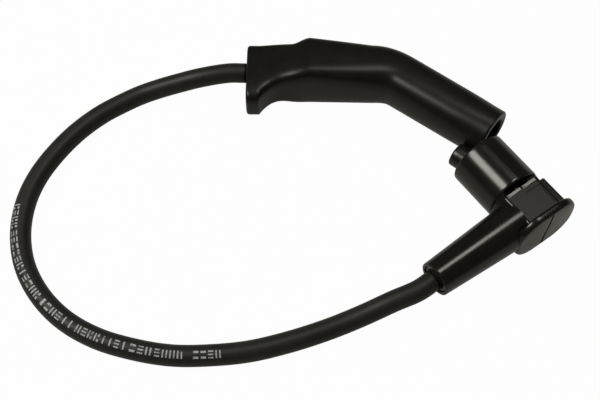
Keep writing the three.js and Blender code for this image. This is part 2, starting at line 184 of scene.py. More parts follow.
# %% [markdown]
# ## The cable's skin
#
# Real cable is extruded: one round section pushed along one line. A curve with a bevel
# would do it in one step, but its rings are out of reach afterwards, and the printing has
# to follow the same rings. So they are made one by one along the line, upright to it, and
# joined by faces. Their map holds the distance along the cable and the turn around it, for
# any pattern that has to follow the surface.

# %% Cable skin
def side_and_up(direction):
    """The two directions upright to the cable: level, and over its top."""
    side = Vector((0, 0, 1)).cross(direction).normalized()
    return side, direction.cross(side).normalized()


def ring_of(direction, count, radius, centre):
    side, up = side_and_up(direction)
    return [
        centre + radius * (math.cos(a) * side + math.sin(a) * up)
        for a in (2 * math.pi * i / count for i in range(count))
    ]


def swept_tube(name, line, radius, sides):
    """One round section along a line, with a map of distance along and turn around."""
    mesh = bmesh.new()
    rings = []
    for i, point in enumerate(line):
        before = line[max(i - 1, 0)]
        after = line[min(i + 1, len(line) - 1)]
        direction = (after - before).normalized()
        rings.append([mesh.verts.new(p) for p in ring_of(direction, sides, radius, point)])
    flat = mesh.loops.layers.uv.new("flat")
    along = 0.0
    for i in range(len(line) - 1):
        step = (line[i + 1] - line[i]).length
        for k in range(sides):
            j = (k + 1) % sides
            face = mesh.faces.new((rings[i][k], rings[i + 1][k], rings[i + 1][j], rings[i][j]))
            face.smooth = True
            turns = (k / sides, k / sides, (k + 1) / sides, (k + 1) / sides)
            places = (along, along + step, along + step, along)
            for loop, place, turn in zip(face.loops, places, turns):
                loop[flat].uv = (place, turn * 2 * math.pi * radius)
        along += step
    mesh.faces.new(rings[0])
    mesh.faces.new(list(reversed(rings[-1])))
    bmesh.ops.recalc_face_normals(mesh, faces=mesh.faces)
    data = bpy.data.meshes.new(name)
    mesh.to_mesh(data)
    mesh.free()
    piece = bpy.data.objects.new(name, data)
    bpy.context.scene.collection.objects.link(piece)
    return piece


cable = swept_tube("cable", cable_line, cable_radius, sides=48)
print("cable skin", len(cable.data.polygons), "faces")

# %% [markdown]
# ## The printing
#
# A marking of small white shapes runs along part of the cable. On the real cable a wheel
# rolls soft ink onto the jacket, so each mark follows the round surface. It could be drawn
# by a material, but then its edges would blur up close. Here each mark is a small flat
# grid, laid out on a plane by distance and height, and then wrapped round the cable. The
# marks are plain bars and blocks, in groups of uneven length.

# %% Printing laid out flat
ink_height = 2.5 * MM
# Groups of marks: start and end along the cable in millimetres, and how many marks
ink_groups = (
    (101.4, 110.2, 4), (111.3, 137.6, 11), (139.0, 153.0, 6), (154.3, 171.7, 8),
    (172.8, 179.9, 3), (180.8, 189.6, 4), (192.8, 201.5, 4),
)
# Share of a group's last cell that stays empty
ink_gap = 0.24
# Each mark is drawn in a cell of width and height 1: left, right, bottom, top of its blocks
ink_marks = (
    ((0.02, 0.22, 0.0, 1.0), (0.52, 0.72, 0.0, 1.0)),
    ((0.02, 0.74, 0.0, 0.28), (0.02, 0.74, 0.72, 1.0)),
    ((0.18, 0.58, 0.0, 1.0),),
    ((0.02, 0.22, 0.0, 1.0), (0.44, 0.74, 0.0, 0.34), (0.44, 0.74, 0.66, 1.0)),
    ((0.02, 0.74, 0.0, 0.18), (0.02, 0.74, 0.41, 0.59), (0.02, 0.74, 0.82, 1.0)),
    ((0.28, 0.50, 0.0, 1.0),),
)


def settle(piece):
    """Leave the piece's place in its mesh, with the object unturned at the origin."""
    select_only(piece)
    bpy.ops.object.transform_apply(location=True, rotation=True, scale=True)


def flat_block(left, right, bottom, top):
    """One small grid on the plane, x along the cable and y across the marking."""
    bpy.ops.mesh.primitive_grid_add(x_subdivisions=3, y_subdivisions=4, size=1.0)
    block = bpy.context.object
    block.scale = (right - left, top - bottom, 1.0)
    block.location = ((left + right) / 2, (bottom + top) / 2, 0.0)
    return block


random.seed(11)
blocks = []
for group_start, group_end, count in ink_groups:
    pitch = (group_end - group_start) / (count - ink_gap) * MM
    for i in range(count):
        here = group_start * MM + i * pitch
        for left, right, bottom, top in random.choice(ink_marks):
            blocks.append(flat_block(
                here + left * pitch, here + right * pitch,
                (bottom - 0.5) * ink_height, (top - 0.5) * ink_height,
            ))
clear_selection()
for block in blocks:
    block.select_set(True)
bpy.context.view_layer.objects.active = blocks[0]
bpy.ops.object.join()
cable_print = bpy.context.object
cable_print.name = "cable_print"
settle(cable_print)
print("printing of", sum(group[2] for group in ink_groups), "marks,", len(blocks), "blocks")

# %% Printing wrapped round the cable
# Turn of the marking's middle round the cable, against the share of the printed stretch.
# 90 degrees is the top
ink_turns = ((0.0, 119), (0.2, 113), (0.45, 103), (0.7, 103), (1.0, 108))
ink_lift = 0.03 * MM
ink_thickness = 0.05 * MM


def on_cable(along, turn):
    """The ink's place at a distance along the cable and a turn around it."""
    step = cable_length / (len(cable_line) - 1)
    i = min(int(along / step), len(cable_line) - 2)
    share = along / step - i
    centre = cable_line[i].lerp(cable_line[i + 1], share)
    before = (cable_line[i + 1] - cable_line[max(i - 1, 0)]).normalized()
    after = (cable_line[min(i + 2, len(cable_line) - 1)] - cable_line[i]).normalized()
    side, up = side_and_up(before.lerp(after, share).normalized())
    return centre + (cable_radius + ink_lift) * (math.cos(turn) * side + math.sin(turn) * up)


def ink_turn(along):
    """Turn at a distance along the cable, between the table's values."""
    first, last = ink_groups[0][0] * MM, ink_groups[-1][1] * MM
    share = min(max((along - first) / (last - first), 0.0), 1.0)
    for (low, one), (high, other) in zip(ink_turns, ink_turns[1:]):
        if share <= high:
            return math.radians(one + (other - one) * (share - low) / (high - low))


def apply_modifiers(piece):
    select_only(piece)
    for modifier in list(piece.modifiers):
        bpy.ops.object.modifier_apply(modifier=modifier.name)


for vertex in cable_print.data.vertices:
    along, across = vertex.co.x, vertex.co.y
    vertex.co = on_cable(along, ink_turn(along) - across / cable_radius)
thicken = cable_print.modifiers.new("ink", "SOLIDIFY")
thicken.thickness = ink_thickness
thicken.offset = 0.0
apply_modifiers(cable_print)
print("printing", len(cable_print.data.polygons), "faces on the cable")

# %% [markdown]
# ## The boot
#
# The boot is one rubber moulding: a flat grip for two fingers at the rear, a fat middle, a
# bend, and a tube that slips over the plug. Its top is flatter and its edges are tighter
# than a plain tube's. It could be sculpted, but its sections are simple, so it is drawn out
# like clay: a disc is extruded ring after ring into a thin straight bar, the mouth and the
# cable hole are sunk into its two ends, each outer ring is given its section, and then the
# bar is bent.

# %% Sections of the boot
boot_bend = Vector((-17.51, 25.27, 11.0)) * MM
boot_angle = math.radians(36.5)
rear_arm = 50.5
front_arm = 43.5
boot_length = rear_arm + front_arm
# Distances from the rear face
grip_start, waist_at, shoulder_at = 4.5, 16.0, 22.5
bend_reach = 6.0
bend_start, bend_stop = rear_arm - bend_reach, rear_arm + bend_reach
tube_stop, mouth_start = boot_length - 14.0, boot_length - 2.0
# Reach away from the loop and into it, then height and squareness above, then the same below
grip = (9.0, 15.3, 6.5, 5.0, 6.5, 5.0)
shoulder = (11.3, 7.6, 9.5, 4.5, 11.0, 3.2)
elbow_end = (8.9, 9.2, 9.3, 3.0, 9.8, 2.8)
tube_start = (8.6, 8.9, 9.1, 2.6, 9.5, 2.3)
tube_end = (8.9, 9.0, 9.1, 2.3, 9.5, 2.1)
mouth = (9.1, 9.1, 9.1, 2.0, 9.1, 2.0)
waist_far, waist_near = 8.8, 8.1
# The grip bulges a little, its finger hollow falls away fast, and its height grows slowly
grip_bulge = 0.4
hollow_power = 2.7
rise_power = 1.3
rear_rounding, mouth_rounding = 1.0, 0.6


def ease(share):
    share = min(max(share, 0.0), 1.0)
    return share * share * (3 - 2 * share)


def mix(one, other, share):
    return tuple(a + (b - a) * share for a, b in zip(one, other))


def grip_section(along):
    """From the grip over the waist to the shoulder, with the finger hollow on one side."""
    hollow = max(1 - (along - grip_start) / (waist_at - grip_start), 0.0)
    ramp = ease((along - waist_at) / (shoulder_at - waist_at))
    rise = ease((along - grip_start) / (shoulder_at - grip_start)) ** rise_power
    far = grip[0] + (waist_far - grip[0]) * (1 - hollow) + (shoulder[0] - waist_far) * ramp
    far += grip_bulge * math.sin(math.pi * hollow)
    near = waist_near + (grip[1] - waist_near) * hollow ** hollow_power
    near += (shoulder[1] - waist_near) * ramp
    return (far, near, *mix(grip, shoulder, rise)[2:])


def boot_section(along):
    """The section at a distance from the rear face, with the edges' rounding."""
    if along < grip_start:
        section = grip
    elif along < shoulder_at:
        section = grip_section(along)
    elif along < bend_start:
        section = mix(shoulder, elbow_end, (along - shoulder_at) / (bend_start - shoulder_at))
    elif along < bend_stop:
        section = mix(elbow_end, tube_start, ease((along - bend_start) / (2 * bend_reach)))
    elif along < tube_stop:
        section = mix(tube_start, tube_end, (along - bend_stop) / (tube_stop - bend_stop))
    else:
        section = mix(tube_end, mouth, ease((along - tube_stop) / (mouth_start - tube_stop)))
    rounding = 0.0
    for edge, size in ((along, rear_rounding), (boot_length - along, mouth_rounding)):
        if edge < size:
            rounding = size - math.sqrt(max(size ** 2 - (size - edge) ** 2, 0.0))
    far, near, above, square_above, below, square_below = section
    return (far - rounding, near - rounding, above - rounding, square_above,
            below - rounding, square_below)


# The rings stand close together where the form changes fast
boot_stations = [0.0, 0.08, 0.3, 0.6, 1.0, 1.8, 2.8, 3.7]
boot_stations += [grip_start + 0.6 * i for i in range(19)]
boot_stations += [waist_at + 0.5 * i for i in range(14)]
boot_stations += [shoulder_at + 1.5 + 2.5 * i for i in range(9)]
boot_stations += [bend_start + bend_reach * i / 6 for i in range(13)]
boot_stations += [bend_stop + 0.5 + 3.0 * i for i in range(12)]
boot_stations += [boot_length - left for left in (1.4, 0.8, 0.6, 0.4, 0.2, 0.08, 0.0)]
print("boot has", len(boot_stations), "rings")

# %% Draw out the boot's bar
bar_radius = 1.0


def start_disc(name, sides, at=0.0):
    """A filled disc across the x axis, in edit mode, ready to be drawn out."""
    clear_selection()
    bpy.ops.mesh.primitive_circle_add(
        vertices=sides, radius=bar_radius, fill_type="NGON", location=(at, 0, 0),
        rotation=(math.pi / 2, 0, math.pi / 2))
    piece = bpy.context.object
    piece.name = name
    settle(piece)
    bpy.ops.object.mode_set(mode="EDIT")
    bpy.ops.mesh.select_mode(type="FACE")
    bpy.ops.mesh.select_all(action="SELECT")
    return piece


def draw_out(step):
    bpy.ops.mesh.extrude_region_move(TRANSFORM_OT_translate={"value": (step, 0, 0)})


def shape_selected(place):
    """Move every selected vertex to where a function of its turn puts it."""
    mesh = bmesh.from_edit_mesh(bpy.context.edit_object.data)
    for vertex in mesh.verts:
        if vertex.select:
            vertex.co = place(vertex.co.x, math.atan2(vertex.co.z, vertex.co.y))
    bmesh.update_edit_mesh(bpy.context.edit_object.data)


def round_ring(radius):
    return lambda x, turn: Vector((x, radius * math.cos(turn), radius * math.sin(turn)))


def boot_ring(x, turn):
    far, near, above, square_above, below, square_below = boot_section(x)
    power = 2 / (square_above if math.sin(turn) > 0 else square_below)
    across = math.copysign(abs(math.cos(turn)) ** power, math.cos(turn))
    up = math.copysign(abs(math.sin(turn)) ** power, math.sin(turn))
    return Vector((x, across * (far if across > 0 else near), up * (above if up > 0 else below)))


boot = start_disc("boot", 72)
for here, there in zip(boot_stations, boot_stations[1:]):
    draw_out(there - here)
print("boot bar", round(boot_stations[-1], 1), "mm long")

# %% Sink the mouth and the cable hole
plug_bore, terminal_bore, cable_hole = 5.9, 4.5, 3.8


def sink(steps):
    """Go on from the selected end face: extrude by each step to each radius."""
    for step, radius in steps:
        draw_out(step)
        shape_selected(round_ring(radius))


sink(((0.0, plug_bore + 0.7), (-0.25, plug_bore + 0.3), (-0.6, plug_bore + 0.05),
      (-2.0, plug_bore), (-12.0, plug_bore), (-12.15, plug_bore), (-0.1, plug_bore - 0.2),
      (0.0, terminal_bore + 0.1), (-0.3, terminal_bore), (-6.8, terminal_bore)))
pick("FACE", lambda face: face.normal.x < -0.9 and face.calc_center_median().x < 0.001)
sink(((0.0, cable_hole + 0.5), (0.15, cable_hole + 0.15), (0.3, cable_hole), (5.0, cable_hole)))
# The outer rings are still as thin as the bar, and the hollows are wider
pick("VERT", lambda vertex: Vector((vertex.co.y, vertex.co.z)).length < bar_radius + 0.01)
shape_selected(boot_ring)
bpy.ops.object.mode_set(mode="OBJECT")
print("boot bar", len(boot.data.polygons), "faces")

# %% Bend the boot and put it in place
def bend_boot(point):
    """From the straight bar to the bent boot, in millimetres round the bend."""
    along, across, up = point
    rear_way = Vector((math.cos(boot_angle), math.sin(boot_angle), 0))
    if along < bend_start:
        centre, turn = rear_way * (along - rear_arm), boot_angle
    elif along > bend_stop:
        centre, turn = Vector((along - rear_arm, 0, 0)), 0.0
    else:
        t = (along - bend_start) / (2 * bend_reach)
        centre = rear_way * -bend_reach * (1 - t) ** 2 + Vector((bend_reach * t * t, 0, 0))
        turn = boot_angle * (1 - t)
    side = Vector((-math.sin(turn), math.cos(turn), 0))
    return centre + side * across + Vector((0, 0, up))


def face_outwards():
    """Turn all faces of the edited piece outwards, and leave edit mode."""
    bpy.ops.mesh.select_all(action="SELECT")
    bpy.ops.mesh.normals_make_consistent(inside=False)
    bpy.ops.object.mode_set(mode="OBJECT")


def smooth(piece, degrees):
    select_only(piece)
    bpy.ops.object.shade_smooth_by_angle(angle=math.radians(degrees))


for vertex in boot.data.vertices:
    vertex.co = boot_bend + bend_boot(vertex.co) * MM
edit(boot)
face_outwards()
smooth(boot, 40)
print("boot reaches", [round(v / MM, 1) for v in boot.dimensions])

# %% [markdown]
# ## The connector's shell
#
# This end is one hard moulding: an open barrel, a narrow neck, a square block with an end
# flange, and a tapered sleeve for the cable. Webs close the groove between barrel and block
# on both sides, and two bright strips edge the block's front. A boolean would leave long
# thin faces that shine badly on glossy plastic. So each form is made clean, with its own
# rounded edges, and they are joined where they cross. The seam of the mould halves is a
# fine ridge, and the end flange carries a curved split line.

# %% Connector sizes
connector_corner = Vector((52.45, 6.93, 10.3)) * MM
connector_turn = math.radians(-17.1)
barrel_radius, barrel_bore = 10.15, 8.45
barrel_mouth, barrel_end = -27.4, -8.6
neck_radius = 5.7
floor_hole = 3.9
block_front = -7.2
block_half_width = 6.8
block_half_height = 7.3
block_top_slope = 0.42
step_width = 2.5
step_front = block_front + 1.4
step_half_height = 6.4
pocket_start, pocket_width, pocket_depth = block_front + 2.4, 6.0, 0.45
flange_back, flange_face = 5.0, 7.7
flange_reach_y, flange_reach_z = 12.4, 10.3
flange_corner = 8.8
sleeve_root, sleeve_end = 6.1, 41.5
sleeve_root_radius, sleeve_end_radius = 7.75, 6.0
cable_bore, seal_bore = 4.5, 4.9
# How far one form reaches into the next, so that they cross
overlap = 0.5
connector_parts = []


def turned_form(name, sides, start, steps):
    """Draw out a round form along x from a list of steps and radii."""
    piece = start_disc(name, sides, start[0])
    shape_selected(round_ring(start[1]))
    sink(steps)
    face_outwards()
    return piece


print("connector", round(flange_face - barrel_mouth, 1), "mm long")

# %% Barrel and neck
barrel = turned_form("barrel", 96, (barrel_end, 0.5), (
    (0.0, barrel_radius - 0.6), (-0.1, barrel_radius - 0.3), (-0.25, barrel_radius - 0.08),
    (-0.25, barrel_radius), (-0.6, barrel_radius), (-15.4, barrel_radius),
    (-1.5, barrel_radius), (-0.3, barrel_radius - 0.06), (-0.25, barrel_radius - 0.25),
    (-0.13, barrel_radius - 0.5), (0.0, barrel_bore + 0.45), (0.12, barrel_bore + 0.15),
    (0.3, barrel_bore), (17.0, barrel_bore), (0.5, barrel_bore - 0.4),
    (0.0, floor_hole + 0.3), (0.3, floor_hole), (0.5, floor_hole)))
connector_parts.append(barrel)
neck = turned_form("neck", 64, (barrel_end - 0.3, floor_hole), (
    (0.0, neck_radius), (block_front - barrel_end + 0.6, neck_radius), (0.0, floor_hole)))
connector_parts.append(neck)
print("barrel", [round(v, 1) for v in barrel.dimensions])

# %% Webs, which close the groove on the far side and above the sleeve
def cut(place, normal, **ways):
    """Cut the whole edited piece with a plane."""
    bpy.ops.mesh.select_all(action="SELECT")
    bpy.ops.mesh.bisect(plane_co=place, plane_no=normal, **ways)


def add_web(end, end_radius, side, inner, top, bottom):
    """A turned wall from the barrel to the block, cut back to a slab on one side."""
    start = barrel_end - 1.7
    piece = start_disc("web", 96, start)
    shape_selected(round_ring(barrel_radius - 0.1))
    draw_out(end - start)
    shape_selected(round_ring(end_radius))
    for place, normal in (
            ((0, side * inner, 0), (0, -side, 0)), ((0, 0, top), (0, 0, 1)),
            ((0, 0, bottom), (0, 0, -1))):
        cut(place, normal, clear_outer=True, use_fill=True)
    face_outwards()
    print("web", len(piece.data.polygons), "faces")
    return piece


connector_parts += [
    add_web(end=block_front + 1.6, end_radius=block_half_width + step_width + 0.4,
            side=1, inner=4.0, top=6.2, bottom=-4.5),
    add_web(end=block_front + 2.6, end_radius=9.0, side=-1, inner=6.0, top=8.0, bottom=-7.0),
]

# %% Block with its step and top pocket
def add_block(name, low, high, rounding, segments=3):
    """A cube primitive stretched between two corners, with rounded edges."""
    clear_selection()
    bpy.ops.mesh.primitive_cube_add(
        size=1.0, location=[(a + b) / 2 for a, b in zip(low, high)],
        scale=[b - a for a, b in zip(low, high)])
    piece = bpy.context.object
    piece.name = name
    settle(piece)
    edit(piece)
    bpy.ops.mesh.select_all(action="SELECT")
    bpy.ops.mesh.bevel(offset=rounding, segments=segments, profile=0.5, affect="EDGES")
    bpy.ops.object.mode_set(mode="OBJECT")
    return piece


block = add_block(
    "block", (block_front, -block_half_width, -block_half_height),
    (flange_back + overlap, block_half_width, block_half_height - block_top_slope),
    rounding=0.15)
edit(block)
pick("FACE", lambda face: face.normal.z > 0.9)
bpy.ops.mesh.inset(thickness=0.02)
bpy.ops.mesh.inset(thickness=0.75, depth=block_top_slope)
bpy.ops.object.mode_set(mode="OBJECT")
step = add_block(
    "step", (step_front, 0.0, -step_half_height),
    (flange_back + overlap, block_half_width + step_width, step_half_height), rounding=0.4)
edit(block)
pocket_end = flange_back - 1.0
for side in (0.0, pocket_width):
    cut((0, side, 0), (0, 1, 0))
for place in (pocket_start, pocket_end):
    cut((place, 0, 0), (1, 0, 0))


def on_pocket(face):
    middle = face.calc_center_median()
    inside = pocket_start < middle.x < pocket_end and 0.0 < middle.y < pocket_width
    return inside and face.normal.z > 0.9


print("pocket faces", pick("FACE", on_pocket))
bpy.ops.mesh.inset(thickness=0.25)
bpy.ops.mesh.extrude_region_move(TRANSFORM_OT_translate={"value": (0, 0, -pocket_depth)})
bpy.ops.object.mode_set(mode="OBJECT")
connector_parts += [block, step]

# %% End flange
farthest_reach, halvings = 40.0, 40


def flange_outline(turn, reach_y, reach_z, corner):
    """A rounded rectangle at a turn round its middle. Its reach is found by halving."""
    direction = Vector((math.cos(turn), math.sin(turn)))
    size = Vector((reach_y, reach_z)) - Vector((corner, corner))
    low, high = 0.0, farthest_reach
    for _ in range(halvings):
        reach = (low + high) / 2
        point = direction * reach
        gap = Vector((max(abs(point.x) - size.x, 0), max(abs(point.y) - size.y, 0)))
        if gap.length > corner:
            high = reach
        else:
            low = reach
    return direction * low


def flange_ring(inset):
    def place(x, turn):
        y, z = flange_outline(
            turn, flange_reach_y - inset, flange_reach_z - inset, flange_corner - inset)
        return Vector((x, y, z))
    return place


flange = start_disc("flange", 96, flange_back)
shape_selected(flange_ring(0.9))
for rise, inset in ((0.0, 0.55), (0.08, 0.3), (0.17, 0.12), (0.25, 0.0), (0.5, 0.0),
                    (0.8, 0.08), (0.3, 0.18), (0.25, 0.34), (0.2, 0.58), (0.15, 0.95)):
    draw_out(rise)
    shape_selected(flange_ring(inset))
print("flange rim", len(bmesh.from_edit_mesh(flange.data).verts), "vertices")

# %% Split line on the flange's face: a narrow band, sunk and then curved like a long S
split_half_width = 0.4
split_depth = 0.4
split_middle, split_sway, split_turn = 0.3, 0.4, 2.5


def on_face(face):
    return face.normal.x > 0.9 and face.calc_center_median().x > flange_face - 0.02


def on_split_line(face):
    return on_face(face) and abs(face.calc_center_median().y) < split_half_width - 0.01


for place, normal in (
        *(((0, side, 0), (0, 1, 0)) for side in (-split_half_width, split_half_width)),
        *(((0, 0, height), (0, 0, 1)) for height in range(-8, 9)),
):
    pick("FACE", on_face)
    bpy.ops.mesh.bisect(plane_co=place, plane_no=normal)
print("split line faces", pick("FACE", on_split_line))
bpy.ops.mesh.extrude_region_move(TRANSFORM_OT_translate={"value": (-split_depth, 0, 0)})
face_outwards()
for vertex in flange.data.vertices:
    on_line = abs(vertex.co.y) < split_half_width + 0.01
    if on_line and vertex.co.x > flange_face - split_depth - 0.1:
        vertex.co.y += split_middle + split_sway * math.tanh(vertex.co.z / split_turn)
connector_parts.append(flange)

# %% Cable sleeve
def sleeve_radius(y):
    share = (y + sleeve_end) / (sleeve_end - sleeve_root)
    return sleeve_end_radius + share * (sleeve_root_radius - sleeve_end_radius)


sleeve = turned_form("sleeve", 80, (-sleeve_root, 0.5), (
    (0.0, sleeve_root_radius), (-12.0, sleeve_radius(-sleeve_root - 12.0)),
    (-12.0, sleeve_radius(-sleeve_root - 24.0)), (-10.6, sleeve_radius(-sleeve_root - 34.6)),
    (-0.4, sleeve_end_radius + 0.02), (-0.25, sleeve_end_radius - 0.06),
    (-0.12, sleeve_end_radius - 0.22), (-0.03, sleeve_end_radius - 0.45),
    (0.0, seal_bore + 0.2), (0.2, seal_bore + 0.02), (0.3, seal_bore), (5.6, seal_bore),
    (0.0, cable_bore), (12.0, cable_bore)))
# From the x axis, along which it was turned, to the y axis
for vertex in sleeve.data.vertices:
    x, y, z = vertex.co
    vertex.co = (-y, x, z)
connector_parts.append(sleeve)
print("sleeve", [round(v, 1) for v in sleeve.dimensions])

# %% Polished strips on the block's front edge
strip_spans = ((-block_half_width + 0.6, -0.5), (0.4, block_half_width - 0.9))
# They lean a little, so that the left light shines in them towards the camera
strip_lean = Matrix.Rotation(math.radians(5.4), 4, "Y")
strip_lean @= Matrix.Rotation(math.radians(5.8), 4, "X")
for low, high in strip_spans:
    strip = add_block(
        "strip", (block_front + 0.05, low, block_half_height - 0.6),
        (block_front + 1.1, high, block_half_height + 0.3), rounding=0.04, segments=1)
    middle = Vector((block_front + 0.6, (low + high) / 2, block_half_height))
    strip.data.transform(Matrix.Translation(middle) @ strip_lean @ Matrix.Translation(-middle))
    connector_parts.append(strip)
    print("strip", round(high - low, 1), "mm long")

# %% Mould seam, a fine ridge along the top and the underside of the barrel
seam_start, seam_end = barrel_mouth + 0.3, barrel_end - 0.3
seam_half_width = 0.11
for bottom, top in ((barrel_radius - 0.3, barrel_radius + 0.07),
                    (-barrel_radius - 0.02, -barrel_radius + 0.3)):
    connector_parts.append(add_block(
        "seam", (seam_start, -seam_half_width, bottom), (seam_end, seam_half_width, top),
        rounding=0.04))
print("connector forms", len(connector_parts))

# %% Mark the grained faces
# The block's top comes from a grained part of the mould. The flange's face is nearly as
# polished as the rest
fully, slightly = 1.0, 0.1
grained_faces = 0
for part in connector_parts:
    layer = part.data.attributes.new("grain", "FLOAT", "FACE")
    for face, value in zip(part.data.polygons, layer.data):
        if face.normal.z > 0.97 and part in (block, step):
            value.value = fully
            grained_faces += 1
        elif face.normal.x > 0.9 and part is flange:
            value.value = slightly
        else:
            value.value = 0.0
print("grained faces", grained_faces)

# %% Join the shell and put it in place
clear_selection()
for part in connector_parts:
    part.select_set(True)
bpy.context.view_layer.objects.active = barrel
bpy.ops.object.join()
connector = bpy.context.object
connector.name = "connector_shell"
connector_place = Matrix.Translation(connector_corner)
connector_place @= Matrix.Rotation(connector_turn, 4, "Z") @ Matrix.Scale(MM, 4)
connector.data.transform(connector_place)
edit(connector)
face_outwards()
smooth(connector, 32)
print("connector shell", len(connector.data.polygons), "faces")

# %% [markdown]
# ## The nozzle
#
# A small soft tube stands in the barrel and holds the contact. It leans a little away from
# the boot beside it. A tube is easiest to turn straight, like the barrel, and then to tilt
# as a whole.

# %% Nozzle
nozzle_root = Vector((barrel_mouth + 14.5, 0, 0))
nozzle_way = Vector((-20.0, -5.0, -0.3))
nozzle_length = nozzle_way.length
nozzle_radius, nozzle_bore, contact_hole = 4.1, 3.25, 2.95
nozzle = turned_form("nozzle", 64, (-1.6, contact_hole), (
    (0.0, nozzle_radius), (nozzle_length - 0.6, nozzle_radius), (1.4, nozzle_radius),
    (0.35, nozzle_radius - 0.05), (0.25, nozzle_radius - 0.2), (0.14, nozzle_radius - 0.4),
    (0.06, nozzle_radius - 0.6), (0.0, nozzle_bore + 0.1), (-0.2, nozzle_bore),
    (-5.2, nozzle_bore), (0.0, contact_hole), (-3.0, contact_hole)))
tilt = Vector((1, 0, 0)).rotation_difference(nozzle_way.normalized()).to_matrix().to_4x4()
nozzle.data.transform(connector_place @ Matrix.Translation(nozzle_root) @ tilt)
smooth(nozzle, 35)
print("nozzle length", round(nozzle_length, 1), "mm")

# %% [markdown]
# ## Finishes
#
# Everything here is black, so the finishes differ by gloss and by grain and hardly by
# colour. Extruded silicone is satin and the palest. The boot is softer rubber with a fine
# skin and an uneven gloss. The connector is a glossy moulding, rougher and a little paler
# where the mould is grained. Each is built from noise on Object coordinates: broad patches
# for colour and gloss, and a fine one for the raised grain. A picture would show the same
# thing, but noise has no seams and stays sharp up close.

# %% Finish helpers
def new_finish(name, colour, roughness, metallic=0.0):
    material = bpy.data.materials.new(name)
    material.use_nodes = True
    shader = material.node_tree.nodes["Principled BSDF"]
    shader.inputs["Base Color"].default_value = (*colour, 1.0)
    shader.inputs["Roughness"].default_value = roughness
    shader.inputs["Metallic"].default_value = metallic
    return material, material.node_tree, shader


def add_noise(tree, source, scale, detail=4.0, roughness=0.55):
    noise = tree.nodes.new("ShaderNodeTexNoise")
    noise.inputs["Scale"].default_value = scale
    noise.inputs["Detail"].default_value = detail
    noise.inputs["Roughness"].default_value = roughness
    tree.links.new(source, noise.inputs["Vector"])
    return noise.outputs["Fac"]


def add_ramp(tree, source, stops):
    ramp = tree.nodes.new("ShaderNodeValToRGB")
    ramp.color_ramp.elements[0].position = stops[0][0]
    ramp.color_ramp.elements[0].color = (*stops[0][1], 1.0)
    ramp.color_ramp.elements[1].position = stops[-1][0]
    ramp.color_ramp.elements[1].color = (*stops[-1][1], 1.0)
    for place, colour in stops[1:-1]:
        ramp.color_ramp.elements.new(place).color = (*colour, 1.0)
    tree.links.new(source, ramp.inputs["Fac"])
    return ramp.outputs["Color"]


def add_range(tree, source, low, high):
    mapped = tree.nodes.new("ShaderNodeMapRange")
    mapped.inputs["To Min"].default_value = low
    mapped.inputs["To Max"].default_value = high
    tree.links.new(source, mapped.inputs["Value"])
    return mapped.outputs["Result"]


def add_bump(tree, shader, height, strength, distance):
    bump = tree.nodes.new("ShaderNodeBump")
    bump.inputs["Strength"].default_value = strength
    bump.inputs["Distance"].default_value = distance
    tree.links.new(height, bump.inputs["Height"])
    tree.links.new(bump.outputs["Normal"], shader.inputs["Normal"])


# The room's light is a little warm, but the lamps are white: its warmth is a painted tint on what
# rubber and plastic reflect
reflection_tint = (1.0, 0.98, 0.88, 1.0)


def grained(name, dark, light, rough, grain, strength, shine=0.5, metallic=0.0):
    """A finish with mottled colour, uneven gloss and a fine raised grain."""
    material, tree, shader = new_finish(name, dark, rough[0], metallic)
    shader.inputs["Specular IOR Level"].default_value = shine
    if not metallic:
        shader.inputs["Specular Tint"].default_value = reflection_tint
    where = tree.nodes.new("ShaderNodeTexCoord")
    patches = add_noise(tree, where.outputs["Object"], grain / 12)
    fine = add_noise(tree, where.outputs["Object"], grain)
    mottle = add_ramp(tree, patches, ((0.3, dark), (0.75, light)))
    tree.links.new(mottle, shader.inputs["Base Color"])
    tree.links.new(add_range(tree, patches, rough[0], rough[1]), shader.inputs["Roughness"])
    add_bump(tree, shader, fine, strength, 0.1 * MM)
    return material


cable_finish = grained("silicone_jacket", (0.0128, 0.0124, 0.0105), (0.0205, 0.0198, 0.0170),
                       (0.42, 0.52), 2600, 0.06, shine=0.29)
print("finish", cable_finish.name)

# %% Rubber and plastic
boot_finish = grained("boot_rubber", (0.0055, 0.0051, 0.0040), (0.0088, 0.0082, 0.0066),
                      (0.30, 0.36), 2200, 0.05, shine=0.26)
plastic_finish = grained("moulded_plastic", (0.0055, 0.0050, 0.0038), (0.0090, 0.0084, 0.0066),
                         (0.18, 0.25), 1500, 0.012, shine=0.39)
nozzle_finish = grained("nozzle_rubber", (0.0060, 0.0055, 0.0045), (0.0095, 0.0090, 0.0075),
                        (0.26, 0.34), 2200, 0.10, shine=0.40)
print("finishes", [m.name for m in (boot_finish, plastic_finish, nozzle_finish)])

# %% Metals of the terminals
terminal_finish = grained("plated_terminal", (0.50, 0.49, 0.46), (0.66, 0.65, 0.62),
                          (0.26, 0.40), 1800, 0.08, metallic=1.0)
spring_finish = grained("spring_wire", (0.30, 0.31, 0.32), (0.45, 0.46, 0.47),
                        (0.25, 0.38), 2400, 0.08, metallic=1.0)
brass_finish = grained("turned_brass", (0.50, 0.33, 0.12), (0.66, 0.46, 0.20),
                       (0.24, 0.40), 1800, 0.08, metallic=1.0)
copper_finish = grained("stranded_core", (0.42, 0.20, 0.10), (0.62, 0.32, 0.18),
                        (0.35, 0.50), 2600, 0.20, metallic=1.0)
print("finishes", [m.name for m in (terminal_finish, spring_finish, brass_finish, copper_finish)])

# %% The connector's grained faces: rougher, and a little paler
grained_roughness = 0.38
grained_colour = (0.014, 0.0135, 0.0105, 1.0)


def feed(tree, value, target):
    """Link a socket to its target, or set a plain value there."""
    if isinstance(value, bpy.types.NodeSocket):
        tree.links.new(value, target)
    else:
        target.default_value = value


